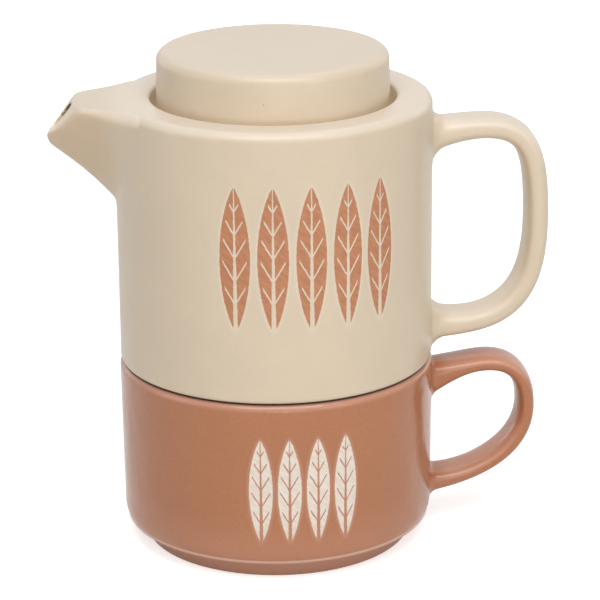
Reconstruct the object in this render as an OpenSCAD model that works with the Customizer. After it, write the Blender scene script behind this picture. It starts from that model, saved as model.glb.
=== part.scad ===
// Tea for one: a cylindrical teapot with a sunk disc lid, standing on its own cup.
// The foot of the cup is centred on the origin. The handles point to +X, the spout to -X.

/* [Bodies] */
// Outer diameter of the teapot
body_d = 100; // [94:0.5:120]
// How much wider the rim of the cup is than the teapot
cup_over = 0.6; // [0:0.1:2]
// Thickness of the teapot wall
pot_wall = 4; // [3:0.25:5]
// Thickness of the cup wall
cup_wall = 4; // [3:0.25:5]

/* [Cup] */
// Height of the cup from the table to its rim
cup_h = 60; // [50:1:90]
// How much the cup narrows from its rim to the curve at the bottom, across the diameter
cup_taper = 1; // [0:0.2:8]
// Radius of the curve low on the cup wall
cup_curve = 10; // [6:0.5:14]
// Height of the overhanging edge above the table
edge_h = 7.5; // [6:0.25:12]
// Outer diameter of the foot ring
foot_d = 86; // [70:0.5:90]
// Width of the foot ring where it touches the table
foot_w = 4; // [2.5:0.5:8]
// Depth of the hollow under the cup
foot_hollow = 2.5; // [1:0.25:4]
// Thickness of the cup floor
cup_floor = 4.5; // [3:0.25:7]
// Radius of the outer edge of the rim of the cup
cup_rim_r = 2.4; // [1:0.1:2.6]

/* [Teapot] */
// Height of the teapot from the rim of the cup to its own rim
pot_h = 86; // [70:0.5:120]
// How far the foot of the teapot reaches down into the cup
nest_h = 6; // [3:0.5:10]
// Depth of the hollow under the teapot
pot_hollow = 2; // [1:0.25:3]
// Thickness of the teapot floor above its seat
pot_floor = 2.5; // [1.5:0.25:6]
// Radius of the outer edge of the rim of the teapot
rim_r = 3; // [1:0.25:3.5]
// Radius of the inner edge of the mouth
mouth_r = 1.4; // [0.5:0.1:2]
// Depth of the lid's ledge below the rim
ledge_h = 5; // [3:0.25:8]
// Width of the lid's ledge
ledge_w = 6; // [5:0.25:7]
// Thickness of the ledge
ledge_t = 3.5; // [3:0.25:5]

/* [Spout] */
// How far the tip of the spout stands out from the wall
spout_reach = 21.2; // [19:0.2:32]
// How far the flat top of the spout runs out from the wall
spout_top = 13.4; // [12:0.2:16]
// Height of the tip below the rim
spout_drop = 10.6; // [9:0.2:16]
// How far down the wall the spout begins
spout_root = 36; // [28:0.5:50]
// Width of the spout where its nose begins
spout_w = 24.2; // [18:0.2:28]
// Width of the blunt end of the nose
nose_w = 5; // [4:0.2:9]
// Width of the mouth at its top
mouth_w = 8; // [7:0.2:10]
// Length of the rounded nose
spout_nose = 4.6; // [3:0.1:6]
// How far the roof of the nose dips
nose_dip = 1.4; // [0.4:0.1:2]
// Roundness of the upper edges of the spout at the body
spout_edge = 3; // [1.5:0.25:4]
// Roundness of the upper edges of the nose
nose_edge = 1.8; // [1:0.1:3]
// Thickness of the spout wall
spout_wall = 2.6; // [2:0.1:3.4]
// Thickness of the roof of the spout at the body
spout_roof = 8; // [6:0.25:10]
// Thickness of the lip
lip_t = 1.2; // [1:0.1:2]

/* [Teapot handle] */
// How far the handle's centre line stands out from the wall
ph_reach = 34; // [28:0.5:45]
// Height of the upper root below the rim
ph_top = 15.4; // [13:0.2:24]
// Height of the lower root above the seat
ph_low = 8.7; // [8:0.2:20]
// Thickness of the handle
ph_t = 7.3; // [5:0.1:10]
// Width of the handle
ph_w = 14; // [10:0.25:18]
// Roundness of its edges
ph_r = 3.4; // [1:0.1:3.6]
// Radius of the fillet at its roots
ph_fillet = 3.4; // [1:0.2:6]

/* [Cup handle] */
// How far the handle's centre line stands out from the wall
ch_reach = 31.6; // [26:0.5:40]
// Height of the upper root below the rim
ch_top = 11.8; // [11:0.2:18]
// Height of the lower root above the table
ch_low = 14.4; // [13.6:0.2:20]
// Thickness of the handle
ch_t = 5.4; // [4:0.1:8]
// Width of the handle
ch_w = 13.4; // [10:0.2:18]
// Roundness of its edges
ch_r = 2.5; // [1:0.1:2.6]
// Radius of the fillet at its roots
ch_fillet = 1.6; // [1:0.2:4]

/* [Lid] */
// Diameter of the lid at its top
lid_d = 72.8; // [66:0.2:78]
// Height of the lid above the rim of the teapot
lid_h = 14.3; // [8:0.1:24]
// How much wider the lid is at its bottom edge
lid_flare = 0.8; // [0:0.1:2]
// Radius of the upper edge of the lid
lid_r = 3; // [1:0.25:6]
// Thickness of the lid
lid_t = 4.5; // [3:0.25:6]
// Depth of the locating ring under the lid
lid_ring = 8; // [4:0.5:12]

/* [Fit] */
// Gap between pieces that rest on each other
seat_gap = 0.3; // [0.2:0.05:0.5]
// Gap round the foot of the teapot in the cup
nest_gap = 2; // [1:0.25:3]
// Gap round the lid in the mouth
lid_gap = 1.8; // [1.2:0.1:4]
// Gap round the lid's locating ring
ring_gap = 0.6; // [0.4:0.1:1.2]

/* [Hidden] */
cream = [0.87, 0.81, 0.71];
rose = [0.70, 0.46, 0.36];
body_r = body_d / 2;
cup_r = body_r + cup_over / 2;
cup_low_r = cup_r - cup_taper / 2;
foot_r = foot_d / 2;
cup_in = cup_r - cup_wall;
seat_z = cup_h + seat_gap;
pot_foot_r = cup_in - nest_gap;
pot_foot_z = seat_z - nest_h;
rim_z = cup_h + pot_h;
lid_low_r = lid_d / 2 + lid_flare / 2;
hole_r = lid_low_r + lid_gap;
ledge_z = rim_z - ledge_h;
ledge_r = hole_r - ledge_w;
ring_r = ledge_r - ring_gap;
lid_z = ledge_z + seat_gap;
lid_top = rim_z + lid_h;
pot_in = body_r - pot_wall;
$fn = 96;

// Points along an arc round [x, y], from angle a to angle b
function arc(x, y, r, a, b, n = 6) =
  [for (i = [0:n]) let (q = a + (b - a) * i / n) [x + r * cos(q), y + r * sin(q)]];

// A point on a quadratic curve
function bend(p, q, r, t) = (1 - t) * (1 - t) * p + 2 * t * (1 - t) * q + t * t * r;

// A point on a cubic curve, and its direction
function cubic(p, t) = pow(1 - t, 3) * p[0] + 3 * pow(1 - t, 2) * t * p[1]
  + 3 * (1 - t) * t * t * p[2] + pow(t, 3) * p[3];
function along(p, t) = unit(pow(1 - t, 2) * (p[1] - p[0])
  + 2 * t * (1 - t) * (p[2] - p[1]) + t * t * (p[3] - p[2]));
function unit(v) = v / norm(v);

// A closed skin over rings that have the same number of points
module skin(rings) {
  n = len(rings[0]);
  m = len(rings);
  wall = [for (i = [0:m - 2], j = [0:n - 1]) let (k = (j + 1) % n)
    each [[i * n + j, (i + 1) * n + k, i * n + k], [i * n + j, (i + 1) * n + j, (i + 1) * n + k]]];
  first = [for (j = [0:n - 1]) j];
  last = [for (j = [n - 1:-1:0]) (m - 1) * n + j];
  polyhedron(points = [for (r = rings) each r], faces = concat([first], wall, [last]), convexity = 8);
}

// Half thickness that a fillet of radius r adds at distance e from the wall
function fillet(e, r) = let (q = min(max(e, 0.14 * r), r)) r - sqrt(r * r - (r - q) * (r - q));

// A rounded strap section of half sizes a and b, on the centre c with the normal n in the XZ plane
function strap(c, n, a, b, r) = [for (k = [0:3]) let (sa = k == 0 || k == 3 ? 1 : -1, sb = k < 2 ? 1 : -1)
  for (p = arc(sa * (a - r), sb * (b - r), r, 90 * k, 90 * k + 90, 4))
    [c[0] + n[0] * p[0], -p[1], c[1] + n[1] * p[0]]];

// A handle: two curves a and b that meet at the outermost point, with thicker, filleted roots.
// ta and tb are the growth in thickness at the upper and lower root, w is the wall's radius.
module handle(a, b, t, w, r, fil, ta, tb, wall_r) {
  n = 22;
  ua = [for (i = [0:n]) pow(i / n, 1.7)];
  ub = [for (i = [1:n]) 1 - pow(1 - i / n, 1.7)];
  spots = concat([for (u = ua) concat([cubic(a, u)], [along(a, u)], [ta])],
    [for (u = ub) concat([cubic(b, u)], [along(b, u)], [tb])]);
  skin([for (i = [0:2 * n]) let (
    c = spots[i][0],
    e = c[0] - wall_r,
    near = min(max(e / 9, 0), 1),
    d = unit(spots[i][1] * near + [i < n ? 1 : -1, 0] * (1 - near)),
    f = fillet(e, fil),
    g = spots[i][2] / 2 * pow(1 - min(max(e / 16, 0), 1), 2)
  ) strap(c, [-d[1], d[0]], t / 2 + f + g, w / 2 + f, r + f * 0.9)]);
}

// One ring of the spout. p is its middle at the top, q its lowest point, w the half width
// below its upper corners, r the roundness of those, and the sides bulge out by the power.
// Nothing of it is wider than cap, with a soft transition.
spout_pow = 0.76;
function beak(p, q, w, r, cap = 1000) = let (
  h = norm(q - p),
  d = (q - p) / h,
  tilt = atan(spout_pow * w / (h - r)),
  s0 = r + r * sin(tilt),
  y0 = w - r * cos(tilt),
  half = concat(
    [[y0, 0]],
    [for (i = [1:5]) let (q1 = 90 - (90 + tilt) * i / 5) [y0 + r * cos(q1), r - r * sin(q1)]],
    [for (i = [1:13]) let (v = pow(1 - i / 14, 1.5)) [w * pow(v, spout_pow), h - (h - s0) * v]]),
  slim = [for (v = half) [v[0] / pow(1 + pow(v[0] / cap, 4), 0.25), v[1]]],
  full = concat(slim, [[0, h]], [for (i = [len(half) - 1:-1:0]) [-slim[i][0], slim[i][1]]])
) [for (v = full) [p[0] + d[0] * v[1], v[0], p[1] + d[1] * v[1]]];

// The middle line of the spout's flat top, its keel and its half width, for s from 0 to 1
tip = [-body_r - spout_reach, rim_z - spout_drop];
top_end = [-body_r - spout_top, rim_z - nose_dip];
top_mid = [-body_r - spout_top + spout_nose, rim_z];
keel_mid = tip + [1.7, -4.3];
function top_at(s) = bend([-body_r + 7, rim_z], [-body_r + 2.5, rim_z], top_mid, s);
function keel_at(s) = bend([-body_r + 2.5, rim_z - spout_root - 2.1],
  [-body_r - 1.8, rim_z - spout_root + 7.6], keel_mid, s);
root_w = sqrt(body_r * body_r - pow(body_r - 7, 2));
function half_at(s) = bend(root_w - 0.3, root_w * 0.72, spout_w / 2, s);
function edge_at(s) = spout_edge + (nose_edge - spout_edge) * s * s;

// The same for the rounded nose, for t from 0 to 1
function nose_top(t) = bend(top_mid, [top_end[0] + 0.3, rim_z - 0.1], top_end, t);
function nose_keel(t) = bend(keel_mid, [tip[0], keel_mid[1] + 1.3], tip, t);
function nose_half(t) = spout_w / 2 - (half_at(0.9) - spout_w / 2) * t;
function nose_cap(t) = let (a = nose_half(t), b = nose_w / 2 + (a - nose_w / 2) * pow(cos(90 * t), 1.35))
  a / pow(pow(a / b, 4) - 0.999, 0.25);

// Outside of the spout
module spout_outside() {
  n = 13;
  skin(concat(
    [for (i = [0:n]) let (s = i / n) beak(top_at(s), keel_at(s), half_at(s), edge_at(s))],
    [for (i = [1:7]) let (t = sin(90 * i / 7)) beak(nose_top(t), nose_keel(t), nose_half(t), nose_edge, nose_cap(t))]));
}

// The channel inside the spout, from the inside of the body out through the lip
module spout_channel() {
  face = unit(tip - top_end);
  out = [face[1], -face[0]];
  n = 8;
  function inner(p, q, w, roof, wall) = let (
    h = norm(q - p),
    d = (q - p) / h,
    w2 = w * pow(1 - roof / h, spout_pow) - wall
  ) beak(p + d * roof, q - d * wall * 1.3, w2, spout_edge * 0.5);
  skin(concat(
    [inner(top_at(0) + [3, 0], keel_at(0) + [3, 0], half_at(0), spout_roof, pot_wall)],
    [for (i = [0:n]) let (s = i / n) inner(top_at(s), keel_at(s), half_at(s),
      spout_roof + (spout_wall - spout_roof) * s, pot_wall + (spout_wall - pot_wall) * s)],
    [for (i = [0:1]) let (p = top_end + out * 4 * i, q = tip + out * 4 * i, d = unit(q - p))
      beak(p + d * lip_t, q - d * lip_t * 1.3, mouth_w / 2, 1.5)]));
}

module cup() color(rose) {
  edge_a = -asin(0.37);
  curve_z = edge_h + cup_curve * 0.37;
  edge_r = cup_low_r - cup_curve + cup_curve * cos(edge_a);
  under = edge_h - 1;
  difference() {
    union() {
      rotate_extrude() polygon(concat(
        [[0, foot_hollow], [foot_r - foot_w - 1.5, foot_hollow], [foot_r - foot_w, 0.4], [foot_r - foot_w + 0.4, 0]],
        arc(foot_r - 1, 1, 1, -90, 0, 4),
        arc(foot_r + 1.5, under - 1.5, 1.5, 180, 90, 4),
        arc(edge_r - 0.7, edge_h - 0.3, 0.7, -90, -20, 4),
        arc(cup_low_r - cup_curve, curve_z, cup_curve, edge_a, 0, 6),
        arc(cup_r - cup_rim_r, cup_h - cup_rim_r, cup_rim_r, 0, 90, 7),
        [[0, cup_h]]));
      cup_handle();
    }
    floor_z = foot_hollow + cup_floor;
    low_in = cup_low_r - cup_wall;
    rotate_extrude() polygon(concat(
      [[0, floor_z]],
      arc(low_in - cup_curve, floor_z + cup_curve, cup_curve, -90, 0, 8),
      arc(cup_in + 1.2, cup_h - 1.2, 1.2, 180, 90, 4),
      [[cup_in + 1.2, cup_h + 1], [0, cup_h + 1]]));
  }
}

module cup_handle() {
  x0 = cup_low_r - 3;
  x = cup_low_r + ch_reach;
  up = cup_h - ch_top;
  low = ch_low;
  mid = low + (up - low) * 0.74;
  handle(
    [[x0, up], [x0 + ch_reach * 0.42, up + 6.5], [x, up + 13.4], [x, mid]],
    [[x, mid], [x, low + 8.6], [x0 + ch_reach * 0.5, low + 0.1], [x0, low - 0.4]],
    ch_t, ch_w, min(ch_r, ch_t / 2 - 0.2), ch_fillet, 6, 2, cup_low_r);
}

module teapot() color(cream) difference() {
  union() {
    rotate_extrude() polygon(concat(
      [[0, pot_foot_z + pot_hollow], [pot_foot_r - 6, pot_foot_z + pot_hollow],
        [pot_foot_r - 4.6, pot_foot_z + 0.4], [pot_foot_r - 4.2, pot_foot_z]],
      arc(pot_foot_r - 1, pot_foot_z + 1, 1, -90, 0, 4),
      arc(pot_foot_r + 0.6, seat_z - 0.6, 0.6, 180, 90, 3),
      arc(body_r - 1.3, seat_z + 1.3, 1.3, -90, 0, 5),
      arc(body_r - rim_r, rim_z - rim_r, rim_r, 0, 90, 7),
      [[0, rim_z]]));
    spout_outside();
    pot_handle();
  }
  pot_inside();
  spout_channel();
}

module pot_inside() {
  floor_z = seat_z + pot_floor;
  under = ledge_z - ledge_t;
  slope = (pot_in - ledge_r) * 0.45;
  rotate_extrude() polygon(concat(
    [[0, floor_z]],
    arc(pot_in - 8, floor_z + 8, 8, -90, 0, 7),
    [[pot_in, under - slope], [ledge_r + 0.8, under]],
    arc(ledge_r + 0.8, under + 0.8, 0.8, -90, -180, 3),
    arc(ledge_r + 0.8, ledge_z - 0.8, 0.8, 180, 90, 3),
    [[hole_r, ledge_z]],
    arc(hole_r + mouth_r, rim_z - mouth_r, mouth_r, 180, 90, 5),
    [[hole_r + mouth_r, rim_z + 1], [0, rim_z + 1]]));
}

module pot_handle() {
  x0 = body_r - 3;
  x = body_r + ph_reach;
  up = rim_z - ph_top;
  low = cup_h + ph_low;
  mid = low + (up - low) * 0.55;
  handle(
    [[x0, up], [x0 + ph_reach * 0.95, up + 7.6], [x, up + 0.6], [x, mid]],
    [[x, mid], [x, low + 9.5], [x0 + ph_reach * 0.84, low - 2.8], [x0, low + 0.3]],
    ph_t, ph_w, min(ph_r, ph_t / 2 - 0.2), ph_fillet, 3, 3, body_r);
}

module lid() color(cream) {
  ring_z = lid_z - lid_ring;
  in_r = ring_r - lid_t + 0.8;
  rotate_extrude() difference() {
    polygon(concat(
      [[0, ring_z]],
      arc(ring_r - 1, ring_z + 1, 1, -90, 0, 4),
      [[ring_r, lid_z]],
      arc(lid_low_r - 0.8, lid_z + 0.8, 0.8, -90, 0, 4),
      arc(lid_d / 2 - lid_r, lid_top - lid_r, lid_r, 0, 90, 8),
      [[0, lid_top]]));
    polygon(concat(
      [[0, ring_z - 1], [in_r + 0.8, ring_z - 1], [in_r + 0.8, ring_z]],
      [[in_r, ring_z + 0.8]],
      arc(in_r - 6, lid_top - lid_t - 6, 6, 0, 90, 6),
      [[0, lid_top - lid_t]]));
  }
}

cup();
teapot();
lid();
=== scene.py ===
"""Tea for one: a cream teapot with a sunk lid, on its own rose cup.

The shapes repeat the CAD source, from the same named values and on finer meshes. They differ from
it in three ways: the handles' sections are flat ovals and a little wider, the spout's mouth is
narrower at its very lip, and the junctions are smoothed as glaze smooths them.
Lengths are in millimetres and angles in degrees, where nothing else is said.
"""
import math
from collections import namedtuple

import bmesh
import bpy
import numpy as np
from mathutils import Matrix, Vector
from mathutils.kdtree import KDTree


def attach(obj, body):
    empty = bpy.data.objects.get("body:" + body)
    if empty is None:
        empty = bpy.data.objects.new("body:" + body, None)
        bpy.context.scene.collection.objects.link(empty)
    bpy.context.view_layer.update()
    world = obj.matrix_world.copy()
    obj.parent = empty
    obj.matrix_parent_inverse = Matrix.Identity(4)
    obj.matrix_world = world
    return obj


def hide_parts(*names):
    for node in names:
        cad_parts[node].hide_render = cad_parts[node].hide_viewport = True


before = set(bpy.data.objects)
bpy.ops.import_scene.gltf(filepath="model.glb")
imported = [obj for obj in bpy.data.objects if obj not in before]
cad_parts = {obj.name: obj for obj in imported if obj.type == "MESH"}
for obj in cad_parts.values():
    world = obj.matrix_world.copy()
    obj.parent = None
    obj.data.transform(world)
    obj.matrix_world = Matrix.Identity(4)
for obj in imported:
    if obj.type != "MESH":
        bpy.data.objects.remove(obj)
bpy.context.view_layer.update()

scene = bpy.context.scene
MM = 0.001


# ---------------------------------------------------------------- camera, fitted to the photograph
CAM_TURN, CAM_ROLL, CAM_PITCH = 5.385, -0.511, 18.609
CAM_DIST, CAM_SIDE, CAM_AIM_Z = 900.0, 7.853, 77.404
FOCAL_PX, PICTURE_PX, SENSOR = 2801.9, 600, 36


def make_camera():
    p, r = math.radians(CAM_PITCH), math.radians(CAM_ROLL)
    ahead = Vector((0, math.cos(p), -math.sin(p)))
    right, up = Vector((1, 0, 0)), Vector((0, math.sin(p), math.cos(p)))
    right, up = right * math.cos(r) + up * math.sin(r), up * math.cos(r) - right * math.sin(r)
    spot = Vector((CAM_SIDE, -CAM_DIST * math.cos(p), CAM_AIM_Z + CAM_DIST * math.sin(p))) * MM
    m = Matrix.Identity(4)
    for i in range(3):
        m[i][0], m[i][1], m[i][2], m[i][3] = right[i], up[i], -ahead[i], spot[i]
    data = bpy.data.cameras.new("camera")
    data.sensor_width = SENSOR
    data.lens = FOCAL_PX / PICTURE_PX * SENSOR
    cam = bpy.data.objects.new("camera", data)
    scene.collection.objects.link(cam)
    cam.matrix_world = Matrix.Rotation(math.radians(-CAM_TURN), 4, "Z") @ m
    scene.camera = cam


make_camera()


# ---------------------------------------------------------------- named values of the CAD source
BODY_R, CUP_R, CUP_LOW_R = 50.0, 50.3, 49.8
CUP_H, SEAT_Z, RIM_Z = 60.0, 60.3, 146.0
FOOT_R, FOOT_W, FOOT_HOLLOW, CUP_FLOOR, EDGE_H = 43.0, 4.0, 2.5, 4.5, 7.5
CUP_IN, CUP_WALL, CUP_CURVE, CUP_RIM_R = 46.3, 4.0, 10.0, 2.4
POT_FOOT_R, POT_FOOT_Z, POT_HOLLOW, POT_FLOOR = 44.3, 54.3, 2, 2.5
POT_IN, POT_WALL, RIM_R, MOUTH_R = 46.0, 4.0, 3.0, 1.4
LID_LOW_R, LID_TOP_R, LID_R, LID_T, LID_Z, LID_TOP = 36.8, 36.4, 3.0, 4.5, 141.3, 160.3
HOLE_R, LEDGE_Z, LEDGE_R, LEDGE_T, RING_R, RING_Z = 38.6, 141.0, 32.6, 3.5, 32.0, 133.3

# Spout: its outside, its nose, its channel
SPOUT_REACH, SPOUT_TOP, SPOUT_DROP, SPOUT_ROOT, SPOUT_W = 21.2, 13.4, 10.6, 36.0, 24.2
SPOUT_POW, SPOUT_EDGE, NO_CAP = 0.76, 3.0, 1000.0
NOSE, NOSE_W, NOSE_EDGE, NOSE_DIP = 4.6, 5.0, 1.8, 1.4
SPOUT_WALL, SPOUT_ROOF, LIP_T = 2.6, 8.0, 1.2
MOUTH_W = 4.6  # 8.0 in the CAD source
TIP = np.array([-BODY_R - SPOUT_REACH, RIM_Z - SPOUT_DROP])
TOP_END = np.array([-BODY_R - SPOUT_TOP, RIM_Z - NOSE_DIP])
TOP_MID = np.array([-BODY_R - SPOUT_TOP + NOSE, RIM_Z])
KEEL_MID = TIP + np.array([1.7, -4.3])
SUNK = 7  # how deep the spout's first ring lies in the body
ROOT_W = math.sqrt(BODY_R ** 2 - (BODY_R - SUNK) ** 2)

# Handles: reach from the wall, height of the upper and lower root, and the share of the height
# between those at which the two curves meet
PH_REACH, PH_UP, PH_LOW, PH_MEET = 34.0, RIM_Z - 15.4, CUP_H + 8.7, 0.55
CH_REACH, CH_UP, CH_LOW, CH_MEET = 31.6, CUP_H - 11.8, 14.4, 0.74
ROOT_IN = 3  # how deep a handle's end lies in the wall

# Their straps. The power of the oval is not in the CAD source, where the widths are 14.0 and
# 13.4 and the cup's thickness is 5.4.
Strap = namedtuple("Strap", "thick wide power fillet upper_extra lower_extra wall_r")
POT_STRAP = Strap(7.3, 15.2, 2.9, 3.4, 3, 3, BODY_R)
CUP_STRAP = Strap(5.7, 14.6, 2.6, 1.6, 6, 2, CUP_LOW_R)
SQUARE_BY, EXTRA_BY = 9, 16  # where it has turned from square to the wall, and lost its extra


# ---------------------------------------------------------------- curves
def arc(x, y, r, a, b, n=10):
    q = np.radians(np.linspace(a, b, n + 1))
    return [(x + r * c, y + r * s) for c, s in zip(np.cos(q), np.sin(q))]


def unit(v):
    return v / np.linalg.norm(v)


def bend(p, q, r, t):
    """A point on the curve from p to r that q pulls."""
    p, q, r = (np.asarray(v, float) for v in (p, q, r))
    return (1 - t) ** 2 * p + 2 * t * (1 - t) * q + t * t * r


def cubic(p, t):
    p = np.asarray(p, float)
    return ((1 - t) ** 3 * p[0] + 3 * (1 - t) ** 2 * t * p[1] + 3 * (1 - t) * t * t * p[2]
            + t ** 3 * p[3])


def along(p, t):
    """The direction of the cubic curve."""
    p = np.asarray(p, float)
    return unit((1 - t) ** 2 * (p[1] - p[0]) + 2 * t * (1 - t) * (p[2] - p[1])
                + t * t * (p[3] - p[2]))


def smooth(x, a, b):
    """0 at a, 1 at b, with soft ends."""
    t = np.clip((x - a) / (b - a), 0, 1)
    return t * t * (3 - 2 * t)


# ---------------------------------------------------------------- meshes
def add_mesh(name, verts, faces):
    me = bpy.data.meshes.new(name)
    me.from_pydata([tuple(float(c) * MM for c in v) for v in verts], [], faces)
    me.validate()
    ob = bpy.data.objects.new(name, me)
    scene.collection.objects.link(ob)
    return ob


def lathe(name, profile, segments=240, step=1.3):
    """Turns a profile of (radius, height) that starts and ends on the axis into a closed solid."""
    most_at_axis = 12
    pts = [profile[0]]
    for a, b in zip(profile[:-1], profile[1:]):
        n = max(1, int(math.dist(a, b) / step))
        if n > 1 and (a[0] < 1 or b[0] < 1):
            n = min(n, most_at_axis)
        pts += [(a[0] + (b[0] - a[0]) * i / n, a[1] + (b[1] - a[1]) * i / n)
                for i in range(1, n + 1)]
    verts, rows = [], []
    for r, z in pts:
        if r < 1e-6:
            rows.append([len(verts)])
            verts.append((0, 0, z))
        else:
            rows.append(list(range(len(verts), len(verts) + segments)))
            turns = [2 * math.pi * k / segments for k in range(segments)]
            verts += [(r * math.cos(q), r * math.sin(q), z) for q in turns]
    faces = []
    for a, b in zip(rows[:-1], rows[1:]):
        for k in range(segments):
            j = (k + 1) % segments
            if len(a) == 1:
                faces.append((a[0], b[j], b[k]))
            elif len(b) == 1:
                faces.append((a[k], a[j], b[0]))
            else:
                faces.append((a[k], a[j], b[j], b[k]))
    return add_mesh(name, verts, faces)


def skin(name, rings):
    """A closed solid over rings that have the same number of points."""
    n, last = len(rings[0]), len(rings) - 1
    verts = [p for r in rings for p in r]
    faces = [tuple(range(n))]
    for i in range(last):
        faces += [(i * n + j, (i + 1) * n + j, (i + 1) * n + (j + 1) % n, i * n + (j + 1) % n)
                  for j in range(n)]
    faces.append(tuple(last * n + j for j in range(n - 1, -1, -1)))
    ob = add_mesh(name, verts, faces)
    bm = bmesh.new()
    bm.from_mesh(ob.data)
    bmesh.ops.recalc_face_normals(bm, faces=bm.faces)
    bm.to_mesh(ob.data)
    bm.free()
    return ob


def join(ob, other, how):
    """ob becomes its union with, or difference from, another closed solid, which goes away."""
    m = ob.modifiers.new("cut", "BOOLEAN")
    m.operation, m.object, m.solver = how, other, "MANIFOLD"
    graph = bpy.context.evaluated_depsgraph_get()
    graph.update()
    made = bpy.data.meshes.new_from_object(ob.evaluated_get(graph))
    ob.modifiers.clear()
    old, ob.data = ob.data, made
    bpy.data.meshes.remove(old)
    bpy.data.objects.remove(other)


def arrays(me):
    """The places of a mesh's points, and the two points of each edge."""
    co = np.zeros(len(me.vertices) * 3)
    me.vertices.foreach_get("co", co)
    ed = np.zeros(len(me.edges) * 2, int)
    me.edges.foreach_get("vertices", ed)
    return co.reshape(-1, 3) / MM, ed.reshape(-1, 2)


def crease_points(ob, angle):
    """Tidies the mesh, and returns points along its creases that are sharper than an angle."""
    merge, gap = 0.12, 0.4
    bm = bmesh.new()
    bm.from_mesh(ob.data)
    bmesh.ops.remove_doubles(bm, verts=bm.verts, dist=merge * MM)
    bmesh.ops.triangulate(bm, faces=[f for f in bm.faces if len(f.verts) > 4])
    spots = []
    for e in bm.edges:
        if len(e.link_faces) == 2 and e.calc_face_angle(0) > math.radians(angle):
            a, b = (v.co / MM for v in e.verts)
            n = max(1, int((b - a).length / gap))
            spots += [a.lerp(b, i / n) for i in range(n + 1)]
    bm.to_mesh(ob.data)
    bm.free()
    return spots


def soften(ob, radius, rounds, angle=24, where=None):
    """Rounds creases, within a radius of them and in a chosen region, as glaze does."""
    spots = crease_points(ob, angle)
    tree = KDTree(len(spots))
    for i, p in enumerate(spots):
        tree.insert(p, i)
    tree.balance()
    co = arrays(ob.data)[0]
    far = np.array([tree.find(p)[2] for p in co])
    w = np.clip(1 - far / radius, 0, 1)
    w = w * w * (3 - 2 * w)
    if where is not None:
        w = w * where(co[:, 0], co[:, 2])
    relax(ob, w, rounds)


def relax(ob, w, rounds):
    """Evens out the surface, at each point by its own weight."""
    speed, least = 0.6, 0.05
    co, ed = arrays(ob.data)
    near = np.nonzero(w > 0)[0]
    mask = np.zeros(len(co), bool)
    mask[near] = True
    ed = ed[mask[ed[:, 0]] | mask[ed[:, 1]]]
    for _ in range(rounds):
        length = np.linalg.norm(co[ed[:, 0]] - co[ed[:, 1]], axis=1) + least
        total, count = np.zeros_like(co), np.zeros(len(co))
        for a, b in ((0, 1), (1, 0)):
            np.add.at(total, ed[:, a], co[ed[:, b]] / length[:, None])
            np.add.at(count, ed[:, a], 1 / length)
        mean = total[near] / count[near][:, None]
        co[near] += (mean - co[near]) * (speed * w[near])[:, None]
    ob.data.vertices.foreach_set("co", (co * MM).ravel())
    ob.data.update()


def mark_edges(ob, rounds=4, gain=1.6):
    """Keeps how convex (above 0.5) or hollow (below 0.5) the surface is at each point, for the
    glaze."""
    me = ob.data
    co, ed = arrays(me)
    nor = np.zeros(len(me.vertices) * 3)
    me.vertices.foreach_get("normal", nor)
    nor = nor.reshape(-1, 3)
    d = co[ed[:, 1]] - co[ed[:, 0]]
    l2 = (d ** 2).sum(1) + 1e-3
    k = np.clip(((nor[ed[:, 1]] - nor[ed[:, 0]]) * d).sum(1) / l2, -1, 1)
    w = np.minimum(l2, 1)
    total, count = np.zeros(len(co)), np.zeros(len(co))
    for a in (0, 1):
        np.add.at(total, ed[:, a], k * w)
        np.add.at(count, ed[:, a], w)
    val = total / np.maximum(count, 1e-9)
    for _ in range(rounds):
        total, count = val.copy(), np.ones(len(co))
        for a, b in ((0, 1), (1, 0)):
            np.add.at(total, ed[:, a], val[ed[:, b]])
            np.add.at(count, ed[:, a], 1)
        val = total / count
    at = me.attributes.new("relief", "FLOAT", "POINT")
    at.data.foreach_set("value", np.clip(0.5 + val * gain, 0, 1).astype(np.float32))


def finish_mesh(ob):
    mark_edges(ob)
    ob.data.polygons.foreach_set("use_smooth", [True] * len(ob.data.polygons))
    ob.data.update()


# ---------------------------------------------------------------- handles
def strap(c, n, a, b, power, points=72):
    """A flat oval round c, a across the bend and b to each side. Its points are spaced by length
    and by turning, so more of them lie where it turns."""
    q = np.radians(np.arange(0.25, 360.5, 0.5))
    u, v = np.cos(q), np.sin(q)
    u = a * np.sign(u) * abs(u) ** (2 / power)
    v = b * np.sign(v) * abs(v) ** (2 / power)
    du, dv = np.diff(u), np.diff(v)
    head = np.unwrap(np.arctan2(dv, du))
    turn = np.abs(np.diff(head, prepend=math.atan2(dv[0], du[0])))
    s = np.concatenate([[0], np.cumsum(np.hypot(du, dv) / (4 * (a + b)) + turn / 6)])
    at = np.linspace(0, s[-1], points + 1)[:-1]
    return [(c[0] + n[0] * i, -j, c[1] + n[1] * i)
            for i, j in zip(np.interp(at, s, u), np.interp(at, s, v))]


def fillet(e, r):
    """How much a fillet of radius r adds at a distance e from the wall."""
    q = min(max(e, 0.05 * r), r)
    return r - math.sqrt(max(r * r - (r - q) ** 2, 0))


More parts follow.
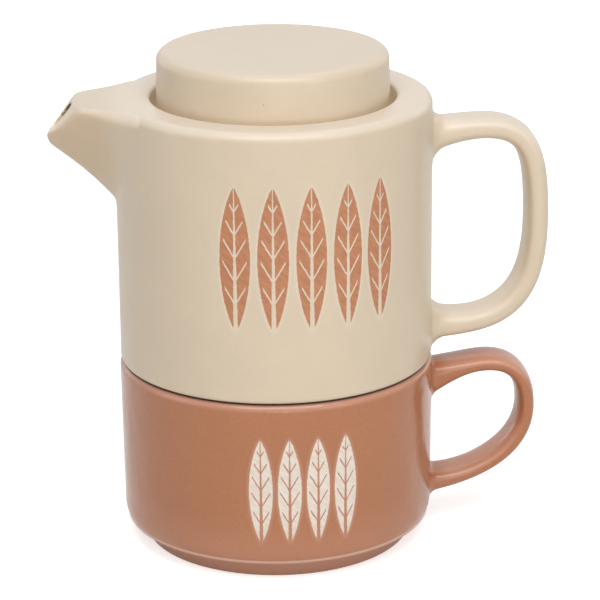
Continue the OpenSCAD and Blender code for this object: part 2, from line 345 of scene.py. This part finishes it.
def handle(upper, lower, s):
    """A strap along two joined curves, square to the wall and thicker at both roots."""
    n, crowd = 60, 1.5
    spots = [(cubic(upper, u), along(upper, u), s.upper_extra)
             for u in [(i / n) ** crowd for i in range(n + 1)]]
    spots += [(cubic(lower, u), along(lower, u), s.lower_extra)
              for u in [1 - (1 - i / n) ** crowd for i in range(1, n + 1)]]
    rings = []
    for i, (c, d, extra) in enumerate(spots):
        e = c[0] - s.wall_r
        near = min(max(e / SQUARE_BY, 0), 1)
        square = np.array([1.0 if i < n else -1.0, 0])
        d = unit(d * near + square * (1 - near))
        f = fillet(e, s.fillet)
        g = extra / 2 * (1 - min(max(e / EXTRA_BY, 0), 1)) ** 2
        rings.append(strap(c, (-d[1], d[0]), s.thick / 2 + f + g, s.wide / 2 + f, s.power))
    return skin("grip", rings)


def pot_handle():
    x0, x = BODY_R - ROOT_IN, BODY_R + PH_REACH
    meet = PH_LOW + (PH_UP - PH_LOW) * PH_MEET
    upper = [(x0, PH_UP), (x0 + PH_REACH * 0.95, PH_UP + 7.6), (x, PH_UP + 0.6), (x, meet)]
    lower = [(x, meet), (x, PH_LOW + 9.5), (x0 + PH_REACH * 0.84, PH_LOW - 2.8), (x0, PH_LOW + 0.3)]
    return handle(upper, lower, POT_STRAP)


def cup_handle():
    x0, x = CUP_LOW_R - ROOT_IN, CUP_LOW_R + CH_REACH
    meet = CH_LOW + (CH_UP - CH_LOW) * CH_MEET
    upper = [(x0, CH_UP), (x0 + CH_REACH * 0.42, CH_UP + 6.5), (x, CH_UP + 13.4), (x, meet)]
    lower = [(x, meet), (x, CH_LOW + 8.6), (x0 + CH_REACH * 0.5, CH_LOW + 0.1), (x0, CH_LOW - 0.4)]
    return handle(upper, lower, CUP_STRAP)


# ---------------------------------------------------------------- spout
# The middle line of its flat top, its keel, its half width and the roundness of its upper edges,
# for s from 0 to 1
def top_at(s):
    return bend((-BODY_R + SUNK, RIM_Z), (-BODY_R + 2.5, RIM_Z), TOP_MID, s)


def keel_at(s):
    root = RIM_Z - SPOUT_ROOT
    return bend((-BODY_R + 2.5, root - 2.1), (-BODY_R - 1.8, root + 7.6), KEEL_MID, s)


def half_at(s):
    return float(bend(ROOT_W - 0.3, ROOT_W * 0.72, SPOUT_W / 2, s))


def edge_at(s):
    return SPOUT_EDGE + (NOSE_EDGE - SPOUT_EDGE) * s * s


# The same for its rounded nose, for t from 0 to 1, and the limit on its half width
def nose_top(t):
    return bend(TOP_MID, (TOP_END[0] + 0.3, RIM_Z - 0.1), TOP_END, t)


def nose_keel(t):
    return bend(KEEL_MID, (TIP[0], KEEL_MID[1] + 1.3), TIP, t)


def nose_half(t):
    return SPOUT_W / 2 - (half_at(0.9) - SPOUT_W / 2) * t


def nose_cap(t):
    a = nose_half(t)
    b = NOSE_W / 2 + (a - NOSE_W / 2) * max(math.cos(math.radians(90 * t)), 0) ** 1.35
    return a / ((a / b) ** 4 - 0.999) ** 0.25


def beak(p, q, w, r, cap=NO_CAP):
    """One ring: p is its middle at the top, q its lowest point, w the half width below its upper
    edges, and r their roundness. Nothing of it is wider than cap, with a soft transition."""
    flat, corner, fine = 8, 9, 30
    h = float(np.linalg.norm(q - p))
    d = (q - p) / h
    tilt = math.atan(SPOUT_POW * w / (h - r))
    s0 = r + r * math.sin(tilt)
    y0 = w - r * math.cos(tilt)
    half = [(y0 * i / flat, 0) for i in range(1, flat + 1)]
    for i in range(1, corner + 1):
        a = math.radians(90) - (math.radians(90) + tilt) * i / corner
        half.append((y0 + r * math.cos(a), r - r * math.sin(a)))
    for i in range(1, fine):
        v = (1 - i / fine) ** 1.5
        half.append((w * v ** SPOUT_POW, h - (h - s0) * v))
    half = [(y / (1 + (y / cap) ** 4) ** 0.25, z) for y, z in half]
    full = [(0, 0)] + half + [(0, h)] + [(-y, z) for y, z in reversed(half)]
    return [(p[0] + d[0] * z, y, p[1] + d[1] * z) for y, z in full]


def spout_outside():
    rings = [beak(top_at(s), keel_at(s), half_at(s), edge_at(s)) for s in np.linspace(0, 1, 44)]
    rings += [beak(nose_top(t), nose_keel(t), nose_half(t), NOSE_EDGE, nose_cap(t))
              for t in np.sin(np.linspace(0, math.pi / 2, 19))[1:]]
    return skin("spout", rings)


def spout_channel():
    """The way from the pot's inside to the mouth, and out through it."""
    keel_share, inner_edge, mouth_edge = 1.3, SPOUT_EDGE * 0.7, 1.5
    face = unit(TIP - TOP_END)
    out = np.array([face[1], -face[0]]) * 4
    into = np.array([3.0, 0])

    def inner(p, q, w, roof, wall):
        h = float(np.linalg.norm(q - p))
        d = (q - p) / h
        w = w * (1 - roof / h) ** SPOUT_POW - wall
        return beak(p + d * roof, q - d * wall * keel_share, w, inner_edge)

    rings = [inner(top_at(0) + into, keel_at(0) + into, half_at(0), SPOUT_ROOF, POT_WALL)]
    rings += [inner(top_at(s), keel_at(s), half_at(s), SPOUT_ROOF + (SPOUT_WALL - SPOUT_ROOF) * s,
                    POT_WALL + (SPOUT_WALL - POT_WALL) * s) for s in np.linspace(0, 1, 26)]
    for p, q in ((TOP_END, TIP), (TOP_END + out, TIP + out)):
        d = unit(q - p)
        rings.append(beak(p + d * LIP_T, q - d * LIP_T * keel_share, MOUTH_W / 2, mouth_edge))
    return skin("channel", rings)


# ---------------------------------------------------------------- the three pieces
HOLLOW_MESH = {"segments": 220, "step": 2.6}  # the insides need fewer faces


def pot_inside():
    corner, lip = 8, 0.8
    under = LEDGE_Z - LEDGE_T
    slope = (POT_IN - LEDGE_R) * 0.45
    floor_z = SEAT_Z + POT_FLOOR
    return lathe("hollow", [(0, floor_z)]
                 + arc(POT_IN - corner, floor_z + corner, corner, -90, 0, 10)
                 + [(POT_IN, under - slope), (LEDGE_R + lip, under)]
                 + arc(LEDGE_R + lip, under + lip, lip, -90, -180, 4)
                 + arc(LEDGE_R + lip, LEDGE_Z - lip, lip, 180, 90, 4)
                 + [(HOLE_R, LEDGE_Z)]
                 + arc(HOLE_R + MOUTH_R, RIM_Z - MOUTH_R, MOUTH_R, 180, 90, 8)
                 + [(HOLE_R + MOUTH_R, RIM_Z + 1), (0, RIM_Z + 1)], **HOLLOW_MESH)


def make_teapot():
    foot_edge, nook, seat_edge = 1, 0.6, 1.3
    body = lathe("teapot_piece", [(0, POT_FOOT_Z + POT_HOLLOW)]
                 + [(POT_FOOT_R - 6, POT_FOOT_Z + POT_HOLLOW)]
                 + [(POT_FOOT_R - 4.6, POT_FOOT_Z + 0.4), (POT_FOOT_R - 4.2, POT_FOOT_Z)]
                 + arc(POT_FOOT_R - foot_edge, POT_FOOT_Z + foot_edge, foot_edge, -90, 0, 5)
                 + arc(POT_FOOT_R + nook, SEAT_Z - nook, nook, 180, 90, 4)
                 + arc(BODY_R - seat_edge, SEAT_Z + seat_edge, seat_edge, -90, 0, 8)
                 + arc(BODY_R - RIM_R, RIM_Z - RIM_R, RIM_R, 0, 90, 12)
                 + [(0, RIM_Z)])
    join(body, spout_outside(), "UNION")
    join(body, pot_handle(), "UNION")
    join(body, pot_inside(), "DIFFERENCE")
    join(body, spout_channel(), "DIFFERENCE")
    soften(body, 2.4, 14)
    # The spout's root, on the side wall below the rim
    soften(body, 4.5, 24, 12, lambda x, z: smooth(x, -40, -44) * smooth(z, 143, 139)
           * smooth(x, -62, -56))
    # The spout's top edges towards the nose, and its tip
    x, _, z = arrays(body.data)[0].T
    relax(body, smooth(x, -55, -61) * smooth(z, 138, 141.5), 7)
    relax(body, 0.7 * smooth(x, -67.5, -70), 5)
    # The handle's roots
    soften(body, 4.0, 16, 14, lambda x, z: smooth(x, 46.5, 47.5) * smooth(z, 61, 62.5)
           * smooth(z, 143, 141))
    finish_mesh(body)
    return body


def cup_inside():
    lip = 1.2
    floor_z = FOOT_HOLLOW + CUP_FLOOR
    low_in = CUP_LOW_R - CUP_WALL
    return lathe("hollow", [(0, floor_z)]
                 + arc(low_in - CUP_CURVE, floor_z + CUP_CURVE, CUP_CURVE, -90, 0, 12)
                 + arc(CUP_IN + lip, CUP_H - lip, lip, 180, 90, 6)
                 + [(CUP_IN + lip, CUP_H + 1), (0, CUP_H + 1)], **HOLLOW_MESH)


def make_cup():
    cut = 0.37  # the share of the curve's radius that lies above the foot's upper edge
    foot_edge, nook, edge = 1, 1.5, 0.7
    edge_a = -math.degrees(math.asin(cut))
    curve_z = EDGE_H + CUP_CURVE * cut
    edge_r = CUP_LOW_R - CUP_CURVE + CUP_CURVE * math.cos(math.radians(edge_a))
    under = EDGE_H - 1
    body = lathe("cup_piece", [(0, FOOT_HOLLOW), (FOOT_R - FOOT_W - 1.5, FOOT_HOLLOW)]
                 + [(FOOT_R - FOOT_W, 0.4), (FOOT_R - FOOT_W + 0.4, 0)]
                 + arc(FOOT_R - foot_edge, foot_edge, foot_edge, -90, 0, 5)
                 + arc(FOOT_R + nook, under - nook, nook, 180, 90, 6)
                 + arc(edge_r - edge, EDGE_H - 0.3, edge, -90, -20, 6)
                 + arc(CUP_LOW_R - CUP_CURVE, curve_z, CUP_CURVE, edge_a, 0, 8)
                 + arc(CUP_R - CUP_RIM_R, CUP_H - CUP_RIM_R, CUP_RIM_R, 0, 90, 10)
                 + [(0, CUP_H)])
    join(body, cup_handle(), "UNION")
    join(body, cup_inside(), "DIFFERENCE")
    soften(body, 1.1, 8)
    # The handle's roots
    soften(body, 2.2, 10, 14, lambda x, z: smooth(x, 47, 48) * smooth(z, 8.5, 10)
           * smooth(z, 56.5, 55))
    finish_mesh(body)
    return body


def make_lid():
    corner, chamfer, ring_edge, low_edge = 6, 0.8, 1, 0.8
    in_r = RING_R - LID_T + chamfer
    roof = LID_TOP - LID_T
    body = lathe("lid_piece", [(0, roof)] + arc(in_r - corner, roof - corner, corner, 90, 0, 8)
                 + [(in_r, RING_Z + chamfer), (in_r + chamfer, RING_Z)]
                 + arc(RING_R - ring_edge, RING_Z + ring_edge, ring_edge, -90, 0, 5)
                 + [(RING_R, LID_Z)]
                 + arc(LID_LOW_R - low_edge, LID_Z + low_edge, low_edge, -90, 0, 5)
                 + arc(LID_TOP_R - LID_R, LID_TOP - LID_R, LID_R, 0, 90, 14)
                 + [(0, LID_TOP)])
    soften(body, 1.0, 3, 40)
    finish_mesh(body)
    return body


# ---------------------------------------------------------------- nodes
def rgb(r, g, b):
    """A colour from 0 to 255 as a linear one."""
    return tuple(c / 12.92 if c <= 0.04045 else ((c + 0.055) / 1.055) ** 2.4
                 for c in (r / 255, g / 255, b / 255)) + (1.0,)


def scaled(colour, k):
    return tuple(c * k for c in colour[:3]) + (1.0,)


class Nodes:
    """Short names for the nodes of one tree. An argument is a number, a colour or a socket."""

    def __init__(self, tree):
        self.tree = tree

    def new(self, kind, **values):
        n = self.tree.nodes.new("ShaderNode" + kind)
        for k, v in values.items():
            setattr(n, k, v)
        return n

    def put(self, value, socket):
        if isinstance(value, (int, float, tuple)):
            socket.default_value = value
        else:
            self.tree.links.new(value, socket)

    def math(self, how, *args, clamp=False):
        n = self.new("Math", operation=how, use_clamp=clamp)
        for i, a in enumerate(args):
            self.put(a, n.inputs[i])
        return n.outputs[0]

    def times(self, value, *others):
        for other in others:
            value = self.math("MULTIPLY", value, other)
        return value

    def add(self, value, *others):
        for other in others:
            value = self.math("ADD", value, other)
        return value

    def minus(self, a, b):
        return self.math("SUBTRACT", a, b)

    def size(self, a):
        return self.math("ABSOLUTE", a)

    def parts(self, vector):
        n = self.new("SeparateXYZ")
        self.put(vector, n.inputs[0])
        return n.outputs

    def ramp(self, x, a, b, c=0.0, d=1.0, smooth=True):
        """From c where x is a to d where x is b, and level outside of those."""
        n = self.new("MapRange", interpolation_type="SMOOTHSTEP" if smooth else "LINEAR")
        for i, v in enumerate((x, a, b, c, d)):
            self.put(v, n.inputs[i])
        return n.outputs[0]

    def mix(self, share, a, b):
        n = self.new("Mix", data_type="RGBA")
        for i, v in ((0, share), (6, a), (7, b)):
            self.put(v, n.inputs[i])
        return n.outputs[2]

    def noise(self, where, scale, detail=3.0, rough=0.5):
        n = self.new("TexNoise")
        for name, v in (("Vector", where), ("Scale", scale), ("Detail", detail),
                        ("Roughness", rough)):
            self.put(v, n.inputs[name])
        return n.outputs[0]


# ---------------------------------------------------------------- print
# A row of leaves: turn round the axis, radius, middle height, leaf height, pitch, number of
# leaves, half width of a leaf
Row = namedtuple("Row", "turn radius middle height pitch count half")


def leaves(m, x, y, z, row, out=0.0, soft=0.22):
    """A row of slim upright leaves with cut veins round the front: 1 on the print, 0 off it. Its
    edge is soft over a distance, and may lie further out."""
    vein_share, rib_slope, rib_pitch, rib_gap, rim_share = 0.13, 1.7, 1.5, 0.17, 0.2
    half, pitch = row.half, row.pitch
    angle = m.math("ARCTAN2", x, m.times(y, -1.0))
    u = m.times(m.minus(angle, math.radians(row.turn)), row.radius)
    v = m.math("DIVIDE", m.minus(z, row.middle), row.height)
    t = m.add(v, 0.5)
    cell = m.math("FLOORED_MODULO", m.add(u, pitch / 2 if row.count % 2 else 0.0), pitch)
    xm = m.size(m.minus(cell, pitch / 2))
    arch = m.times(t, m.minus(1.0, t), 4.0)
    wide = m.times(m.math("POWER", m.math("MAXIMUM", arch, 0.0), 0.8), half)
    edge = m.minus(wide, xm)
    inside = m.ramp(edge, -out, soft - out)
    inside = m.times(inside, m.ramp(m.times(arch, row.height), -4 * out, 4 * (soft - out)))
    width = pitch * row.count
    ends = m.ramp(m.size(u), width / 2, width / 2 + 0.1, 1.0, 0.0)
    vein = m.ramp(m.minus(xm, m.times(m.minus(1.0, t), half * vein_share)), -out, soft - out)
    rib = m.math("FLOORED_MODULO", m.minus(m.times(v, row.height), m.times(xm, rib_slope)),
                 half * rib_pitch)
    rib = m.ramp(rib, half * rib_gap - out, half * rib_gap + soft - out)
    rim = m.ramp(edge, half * rim_share, half * rim_share + 0.2, 1.0, 0.0)
    return m.times(inside, ends, vein, m.math("MAXIMUM", rib, rim))


# ---------------------------------------------------------------- glazes
# Where a piece meets its neighbour: radius, height and softness of the painted shadow in the joint,
# then height, colour and share of the painted highlight on the brim
Seat = namedtuple("Seat", "dark_r dark_z dark_soft brim_z brim_colour brim_share")


class Glaze(Nodes):
    """A satin glaze. Its colour, roughness and height are built up in layers."""

    def __init__(self, name, base, light, dark, rough):
        self.mat = bpy.data.materials.new(name)
        self.mat.use_nodes = True
        super().__init__(self.mat.node_tree)
        self.light, self.dark = light, dark
        scale = self.new("VectorMath", operation="SCALE")
        self.put(self.new("TexCoord").outputs["Object"], scale.inputs[0])
        scale.inputs["Scale"].default_value = 1 / MM
        self.mm = scale.outputs[0]
        self.x, self.y, self.z = self.parts(self.mm)
        self.dist = self.math("SQRT", self.add(self.times(self.x, self.x),
                                               self.times(self.y, self.y)))
        self.up = self.parts(self.new("NewGeometry").outputs["Normal"])[2]
        self.colour = base
        self.rough = self.add(rough - 0.03, self.times(self.noise(self.mm, 0.12, 3.0), 0.06))
        self.height = self.times(self.noise(self.mm, 0.09, 2.0), 0.5)

    def tint(self, colour, *shares):
        """Mixes a colour in, by the product of the shares."""
        self.colour = self.mix(self.times(*shares), self.colour, colour)

    def raise_by(self, value, k):
        self.height = self.add(self.height, self.times(value, k))

    def clouds(self, grain):
        """Cloudy tone and fine grain."""
        fine = self.noise(self.mm, 1.4, 4.0, 0.65)
        cloud = self.noise(self.mm, 0.035, 3.0)
        self.tint(scaled(self.colour, 0.965), self.ramp(cloud, 0.3, 0.7))
        self.tint(self.dark, self.ramp(fine, 0.35, 0.65, 0.0, grain))
        self.raise_by(fine, 0.015)

    def edges(self):
        """Sharp edges are paler, partly where the glaze thins and partly as a painted highlight,
        less so on the handles, and hollows are darker.
        """
        relief = self.new("Attribute", attribute_name="relief").outputs["Fac"]
        # Painted highlight on sharp edges, partly the glaze's own paler tone where it thins
        self.tint(self.light, self.ramp(relief, 0.58, 0.95, 0.0, 0.4),
                  self.ramp(self.x, 54.0, 62.0, 1.0, 0.2))
        self.tint(self.dark, self.ramp(relief, 0.46, 0.2, 0.0, 0.5))

    def specks(self):
        """A few small brown specks."""
        cells = self.new("TexVoronoi")
        self.put(self.mm, cells.inputs["Vector"])
        cells.inputs["Scale"].default_value = 0.075
        speck = self.ramp(cells.outputs["Distance"], 0.012, 0.022, 1.0, 0.0)
        chosen = self.ramp(self.parts(cells.outputs["Color"])[0], 0.45, 0.5)
        speck = self.times(speck, chosen)
        self.tint(rgb(92, 66, 48), speck, 0.5)
        self.raise_by(speck, 0.03)

    def sides(self, warm_bounce):
        """Painted warm bounce light under the spout, and painted light from above on the handle's
        upper faces.
        """
        self.tint(warm_bounce, self.ramp(self.up, 0.15, 0.65, 1.0, 0.0),
                  self.ramp(self.x, -58.0, -47.0, 0.6, 0.0))
        self.tint(self.light, self.ramp(self.x, 51.0, 57.0, 0.0, 0.4),
                  self.ramp(self.up, 0.0, 0.5))

    def print_row(self, row, ink, deep_share):
        """A slightly impressed, grained print, with a pale halo in the glaze round it."""
        x, y, z = self.x, self.y, self.z
        outside = self.ramp(self.dist, 49.0, 49.2)
        near = self.times(self.minus(self.noise(self.mm, 0.8, 3.0, 0.7), 0.5), 0.5)
        mask = self.times(leaves(self, self.add(x, near), y, self.add(z, near), row), outside)
        bed = self.times(leaves(self, x, y, z, row, 0.35, 0.75), outside)
        halo = self.times(leaves(self, x, y, z, row, 1.3, 1.6), outside)
        slant = self.new("CombineXYZ")
        self.put(self.times(self.add(x, z), 1.5), slant.inputs[0])
        self.put(self.times(self.minus(x, z), 0.35), slant.inputs[1])
        streak = self.noise(slant.outputs[0], 0.5, 3.0, 0.6)
        grit = self.noise(self.mm, 2.6, 3.0, 0.8)
        pale, deep = scaled(ink, 1.08), scaled(ink, deep_share)
        ink = self.mix(self.ramp(streak, 0.35, 0.65), pale, deep)
        ink = self.mix(self.ramp(grit, 0.4, 0.75, 0.0, 0.5), ink, deep)
        self.tint(self.light, halo, 0.3)
        self.tint(ink, mask, 0.96)
        self.rough = self.add(self.rough, self.times(mask, 0.25))
        self.height = self.minus(self.height, self.times(bed, 0.12))
        self.raise_by(self.times(grit, mask), 0.05)

    def painted_joint_light(self, seat):
        """Painted shadow between pot and cup, and a painted highlight on the brim above."""
        # Painted shadow in the seam
        self.tint(rgb(24, 15, 12), self.ramp(self.dist, seat.dark_r, seat.dark_r + 0.5, 1.0, 0.0),
                  self.ramp(self.z, seat.dark_z, seat.dark_z + seat.dark_soft),
                  self.ramp(self.dist, 46.4, 46.9), 0.97)
        # Painted highlight on the brim
        self.tint(seat.brim_colour, self.ramp(self.z, seat.brim_z, seat.brim_z + 1.8),
                  self.ramp(self.dist, 56.0, 47.0), self.ramp(self.dist, 37.9, 38.5),
                  self.ramp(self.z, 151.0, 146.5, 0.0, seat.brim_share))

    def finish(self, ior):
        bump = self.new("Bump")
        bump.inputs["Strength"].default_value = 1.0
        bump.inputs["Distance"].default_value = MM
        self.put(self.height, bump.inputs["Height"])
        bsdf = self.tree.nodes["Principled BSDF"]
        self.put(bump.outputs[0], bsdf.inputs["Normal"])
        self.put(self.colour, bsdf.inputs["Base Color"])
        self.put(self.rough, bsdf.inputs["Roughness"])
        bsdf.inputs["IOR"].default_value = ior
        return self.mat


def cream_glaze():
    """Teapot and lid."""
    m = Glaze("cream_satin", rgb(219, 201, 175), rgb(238, 226, 212), rgb(202, 182, 153), 0.34)
    m.clouds(0.12)
    m.edges()
    m.specks()
    # Painted warm bounce light under the spout and painted light on the handle's upper faces
    m.sides(rgb(206, 179, 144))
    m.print_row(Row(8.0, 50.0, 106.5, 46.0, 11.8, 5, 4.9), rgb(190, 124, 84), 0.84)
    # Painted shadow where the pot sits in the cup, and a painted highlight on the rim round the lid
    m.painted_joint_light(Seat(49.2, 60.95, -0.3, 143.2, rgb(240, 229, 214), 0.4))
    # Painted light in the gap round the lid, a painted sheen from above that makes flat tops
    # greyer, and painted light on the mouth's inner wall
    m.tint(rgb(246, 228, 202), m.ramp(m.dist, 39.2, 38.5), m.ramp(m.z, 140.5, 141.0),
           m.ramp(m.z, 154.0, 144.0, 0.0, 0.25))
    # Painted sheen from above: upward faces greyer
    m.tint(rgb(219, 207, 194), m.ramp(m.up, 0.5, 0.9, 0.0, 0.3))
    # Painted light on the mouth's inner wall
    m.tint(rgb(250, 228, 196), m.ramp(m.size(m.y), 3.0, 3.4, 1.0, 0.0),
           m.ramp(m.x, -54.0, -57.0), m.times(m.ramp(m.z, 136.5, 137.0), m.ramp(m.z, 144.4, 144.0)))
    return m.finish(1.5)


def rose_glaze():
    """Cup."""
    m = Glaze("rose_satin", rgb(184, 121, 84), rgb(222, 176, 155), rgb(156, 96, 66), 0.18)
    m.clouds(0.22)
    m.edges()
    m.specks()
    # Painted warm bounce light low on the left and painted light on the handle's upper faces
    m.sides(rgb(183, 120, 85))
    m.print_row(Row(4.6, 49.9, 31.5, 34.8, 9.0, 4, 3.8), rgb(233, 222, 208), 0.94)
    # Painted shadow under the pot on the cup's rim, and a painted highlight on the rim band
    m.painted_joint_light(Seat(48.8, 59.3, 0.3, 57.2, rgb(222, 174, 156), 0.45))
    # Painted reflection of the floor towards the foot, painted bounce light from the floor on the
    # foot ring, and a painted highlight along the edge above it
    m.tint(rgb(194, 146, 122), m.ramp(m.z, 24.0, 9.0, 0.0, 0.3))
    # Painted bounce light from the floor on the foot ring
    m.tint(rgb(206, 160, 136), m.ramp(m.z, 6.3, 7.0, 1.0, 0.0), m.ramp(m.dist, 40.0, 42.0), 0.45)
    # Painted highlight along the step edge
    m.tint(rgb(232, 200, 180), m.ramp(m.size(m.minus(m.z, 7.45)), 0.2, 0.6, 1.0, 0.0),
           m.ramp(m.dist, 44.5, 45.5), 0.55)
    # Bare clay under the foot ring
    low = m.add(m.z, m.times(m.noise(m.mm, 0.9, 2.0), 0.5))
    bare = m.ramp(low, 0.25, 0.6, 1.0, 0.0)
    m.tint(m.mix(m.noise(m.mm, 2.5, 4.0, 0.7), rgb(196, 160, 132), rgb(176, 140, 112)), bare)
    m.rough = m.math("ADD", m.rough, m.times(bare, 0.4), clamp=True)
    return m.finish(1.43)


cream = cream_glaze()
rose = rose_glaze()

for ob, node, mat, slot in ((make_cup(), "cup", rose, "rose_glaze"),
                            (make_teapot(), "teapot", cream, "cream_glaze"),
                            (make_lid(), "lid", cream, "cream_glaze")):
    ob.data.materials.clear()
    ob.data.materials.append(mat)
    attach(ob, "root")
    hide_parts(node)


# ---------------------------------------------------------------- floor, world and lamps
FLOOR_HALF = 4.0  # this and the lamps' places and sizes are in metres


def by_ray(m, camera, glossy, other):
    """A strength for the camera's rays, for reflections and for all other rays."""
    path = m.new("LightPath").outputs
    see = m.math("MAXIMUM", path["Is Camera Ray"], path["Is Transmission Ray"])
    shine = m.ramp(path["Is Glossy Ray"], 0.0, 1.0, other, glossy, smooth=False)
    return m.ramp(see, 0.0, 1.0, shine, camera, smooth=False)


def far_white(m):
    """The floor's own white as the camera sees it: low where the shadow lies on it, and full
    where it meets the world."""
    away = m.new("VectorMath", operation="LENGTH")
    m.put(m.new("TexCoord").outputs["Object"], away.inputs[0])
    return m.ramp(away.outputs["Value"], 0.25, 0.9, 0.66, 1.0, smooth=False)


def make_floor():
    a = FLOOR_HALF
    me = bpy.data.meshes.new("floor")
    me.from_pydata([(-a, -a, 0), (a, -a, 0), (a, a, 0), (-a, a, 0)], [], [(0, 1, 2, 3)])
    ob = bpy.data.objects.new("floor", me)
    scene.collection.objects.link(ob)
    mat = bpy.data.materials.new("floor")
    mat.use_nodes = True
    m = Nodes(mat.node_tree)
    bsdf = m.tree.nodes["Principled BSDF"]
    bsdf.inputs["Base Color"].default_value = (0.82, 0.82, 0.82, 1)
    bsdf.inputs["Roughness"].default_value = 1.0
    bsdf.inputs["Specular IOR Level"].default_value = 0.0
    glow = m.new("Emission")
    m.put(by_ray(m, far_white(m), 0.42, 0.0), glow.inputs["Strength"])
    both = m.new("AddShader")
    m.put(bsdf.outputs[0], both.inputs[0])
    m.put(glow.outputs[0], both.inputs[1])
    m.put(both.outputs[0], m.tree.nodes["Material Output"].inputs["Surface"])
    me.materials.append(mat)


def make_world():
    world = bpy.data.worlds.new("world")
    scene.world = world
    world.use_nodes = True
    m = Nodes(world.node_tree)
    back = m.tree.nodes["Background"]
    back.inputs["Color"].default_value = (1, 1, 1, 1)
    m.put(by_ray(m, 1.0, 1.0, 0.12), back.inputs["Strength"])


def lamp(name, spot, size, power, aim=(0, 0, 0.09)):
    data = bpy.data.lights.new(name, "AREA")
    data.shape = "RECTANGLE"
    data.size, data.size_y = size
    data.energy = power
    ob = bpy.data.objects.new(name, data)
    scene.collection.objects.link(ob)
    ob.location = spot
    ob.rotation_euler = (Vector(aim) - Vector(spot)).to_track_quat("-Z", "Y").to_euler()


make_floor()
make_world()
lamp("top", (0, 0, 1.2), (1.2, 1.2), 3.2)
lamp("top_back", (0, 0.7, 1.0), (1.2, 0.6), 1.2)
lamp("top_front", (0, -0.7, 1.1), (1.2, 0.6), 10.0)
lamp("front", (0, -1.4, 0.45), (0.8, 0.8), 1.1)
lamp("front_right", (0.9, -1.1, 0.4), (0.6, 0.8), 2.8)
lamp("left", (-1.1, -0.1, 0.35), (0.4, 0.9), 1.4)
lamp("right", (1.1, -0.1, 0.35), (0.4, 0.9), 0.2)
lamp("back_right", (0.9, 0.7, 0.4), (0.5, 0.9), 0.9)
lamp("low_front", (0.1, -1.3, 0.07), (0.9, 0.05), 1.4)
lamp("far_left", (-1.3, 1.6, 0.35), (0.7, 0.9), 1.9)

scene.view_settings.view_transform = "Standard"
